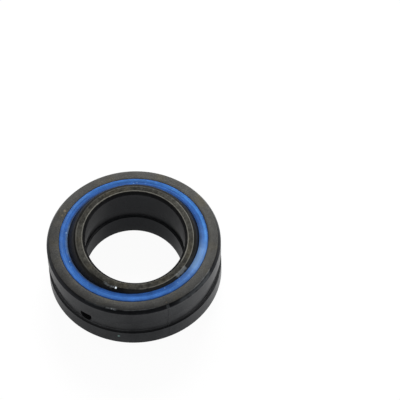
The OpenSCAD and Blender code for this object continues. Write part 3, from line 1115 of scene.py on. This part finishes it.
class BEARING_OT_stage(bpy.types.Operator):
    """Set the pale floor, the soft studio light and the camera"""

    bl_idname = "bearing.stage"
    bl_label = "Stage"

    def floor(self, stage):
        """Lays a pale floor that looks nearly white to the camera and keeps the shadow."""
        bm = bmesh.new()
        bmesh.ops.create_grid(bm, x_segments=1, y_segments=1, size=stage.floor_size / 2)
        bmesh.ops.translate(bm, verts=bm.verts[:], vec=(0.0, 0.0, FLOOR_Z))
        floor = as_object(bm, "floor")
        material = bpy.data.materials.new("pale_floor")
        material.use_nodes = True
        tree = material.node_tree
        tree.nodes.clear()
        path = place(tree, "ShaderNodeLightPath")
        mirrored = mirrored_light(tree, path)
        share = maths(tree, "MULTIPLY", path.outputs["Is Camera Ray"], stage.floor_lift)
        share = maths(tree, "MULTIPLY_ADD", mirrored, stage.floor_gleam, share)
        coordinates = place(tree, "ShaderNodeTexCoord")
        right = direction(stage.azimuth, 0.0)
        aside = alignment(tree, coordinates.outputs["Object"], right)
        bright = ramp(tree, aside, 0.0, FLOOR_FADE, 0.0, stage.floor_bright)
        strength = maths(tree, "MULTIPLY_ADD", mirrored, bright, 1.0)
        paint = place(tree, "ShaderNodeBsdfDiffuse", {"Color": (*stage.floor_colour, 1.0)})
        white = place(tree, "ShaderNodeEmission", {"Color": WHITE, "Strength": strength})
        both = place(tree, "ShaderNodeMixShader", {0: share, 1: paint.outputs[0], 2: white.outputs[0]})
        place(tree, "ShaderNodeOutputMaterial", {"Surface": both.outputs[0]})
        floor.data.materials.append(material)

    def world(self, scene, stage):
        """Surrounds the stage with an even light, and with a room, a panel and a flag that metal shows."""
        world = bpy.data.worlds.new("studio")
        scene.world = world
        world.use_nodes = True
        tree = world.node_tree
        tree.nodes.clear()
        path = place(tree, "ShaderNodeLightPath")
        seen = path.outputs["Is Camera Ray"]
        mirrored = mirrored_light(tree, path)
        sky = place(tree, "ShaderNodeTexCoord").outputs["Generated"]
        facing = alignment(tree, sky, direction(stage.panel_azimuth, stage.panel_elevation))
        hidden = alignment(tree, sky, direction(stage.flag_azimuth, stage.flag_elevation))
        room = ramp(tree, facing, *ROOM_FADE, stage.dark_side, stage.dark_side + stage.room)
        shown = maths(tree, "ADD", room, ramp(tree, facing, *PANEL_FADE, 0.0, stage.panel))
        shown = maths(tree, "MULTIPLY", shown, ramp(tree, hidden, *FLAG_FADE, 1.0, 1.0 - stage.flag))
        even = maths(tree, "SUBTRACT", 1.0, maths(tree, "MAXIMUM", mirrored, seen))
        strength = maths(tree, "MULTIPLY_ADD", mirrored, shown, seen)
        strength = maths(tree, "MULTIPLY_ADD", even, stage.fill, strength)
        white = place(tree, "ShaderNodeBackground", {"Color": WHITE, "Strength": strength})
        place(tree, "ShaderNodeOutputWorld", {"Surface": white.outputs[0]})

    def softbox(self, scene, stage):
        """Hangs one softbox that faces the bearing and that metal doesn't show."""
        lamp = bpy.data.lights.new("key_softbox", "AREA")
        lamp.shape = "SQUARE"
        lamp.size = stage.key_size
        lamp.energy = stage.key_power
        box = bpy.data.objects.new("key_softbox", lamp)
        away = direction(stage.key_azimuth, stage.key_elevation)
        turned = away.to_track_quat("Z", "Y").to_matrix().to_4x4()
        box.matrix_world = Matrix.Translation(away * stage.key_distance) @ turned
        box.visible_glossy = False
        scene.collection.objects.link(box)

    def camera(self, scene, stage):
        """Sets the camera at the photograph's viewing angle."""
        lens = bpy.data.cameras.new("camera")
        lens.lens = stage.lens
        lens.clip_start, lens.clip_end = CLIP
        camera = bpy.data.objects.new("camera", lens)
        # The camera's azimuth starts at the front, a quarter turn before +X
        eye = direction(stage.azimuth - math.pi / 2, stage.elevation) * stage.distance
        look = (Vector(stage.aim) - eye).to_track_quat("-Z", "Y").to_matrix().to_4x4()
        camera.matrix_world = Matrix.Translation(eye) @ look @ Matrix.Rotation(stage.roll, 4, "Z")
        scene.collection.objects.link(camera)
        scene.camera = camera

    def execute(self, context):
        scene = context.scene
        stage = scene.bearing_stage
        scene.view_settings.view_transform = "Standard"
        self.floor(stage)
        self.world(scene, stage)
        self.softbox(scene, stage)
        self.camera(scene, stage)
        return {"FINISHED"}


class BEARING_PT_panel(bpy.types.Panel):
    """Lists the pieces of the bearing and the stage"""

    bl_idname = "BEARING_PT_panel"
    bl_label = "Spherical Plain Bearing"
    bl_space_type = "VIEW_3D"
    bl_region_type = "UI"
    bl_category = "Bearing"

    def draw(self, context):
        for operator in OPERATORS:
            self.layout.operator(operator.bl_idname)


OPERATORS = (BEARING_OT_inner_ring, BEARING_OT_outer_ring, BEARING_OT_seals, BEARING_OT_stage)
SETTINGS = {
    "bearing_inner": InnerRingSizes,
    "bearing_outer": OuterRingSizes,
    "bearing_seal": SealSizes,
    "bearing_colours": FinishColours,
    "bearing_stage": StageSettings,
}


def register():
    """Registers the settings, the operators and the panel."""
    for name, group in SETTINGS.items():
        bpy.utils.register_class(group)
        setattr(bpy.types.Scene, name, PointerProperty(type=group))
    for operator in OPERATORS:
        bpy.utils.register_class(operator)
    bpy.utils.register_class(BEARING_PT_panel)


def unregister():
    """Takes the panel, the operators and the settings away again."""
    bpy.utils.unregister_class(BEARING_PT_panel)
    for operator in reversed(OPERATORS):
        bpy.utils.unregister_class(operator)
    for name, group in SETTINGS.items():
        delattr(bpy.types.Scene, name)
        bpy.utils.unregister_class(group)


def main():
    """Builds the whole scene."""
    register()
    bpy.ops.bearing.inner_ring()
    bpy.ops.bearing.outer_ring()
    bpy.ops.bearing.seals()
    bpy.ops.bearing.stage()


if __name__ == "__main__":
    main()
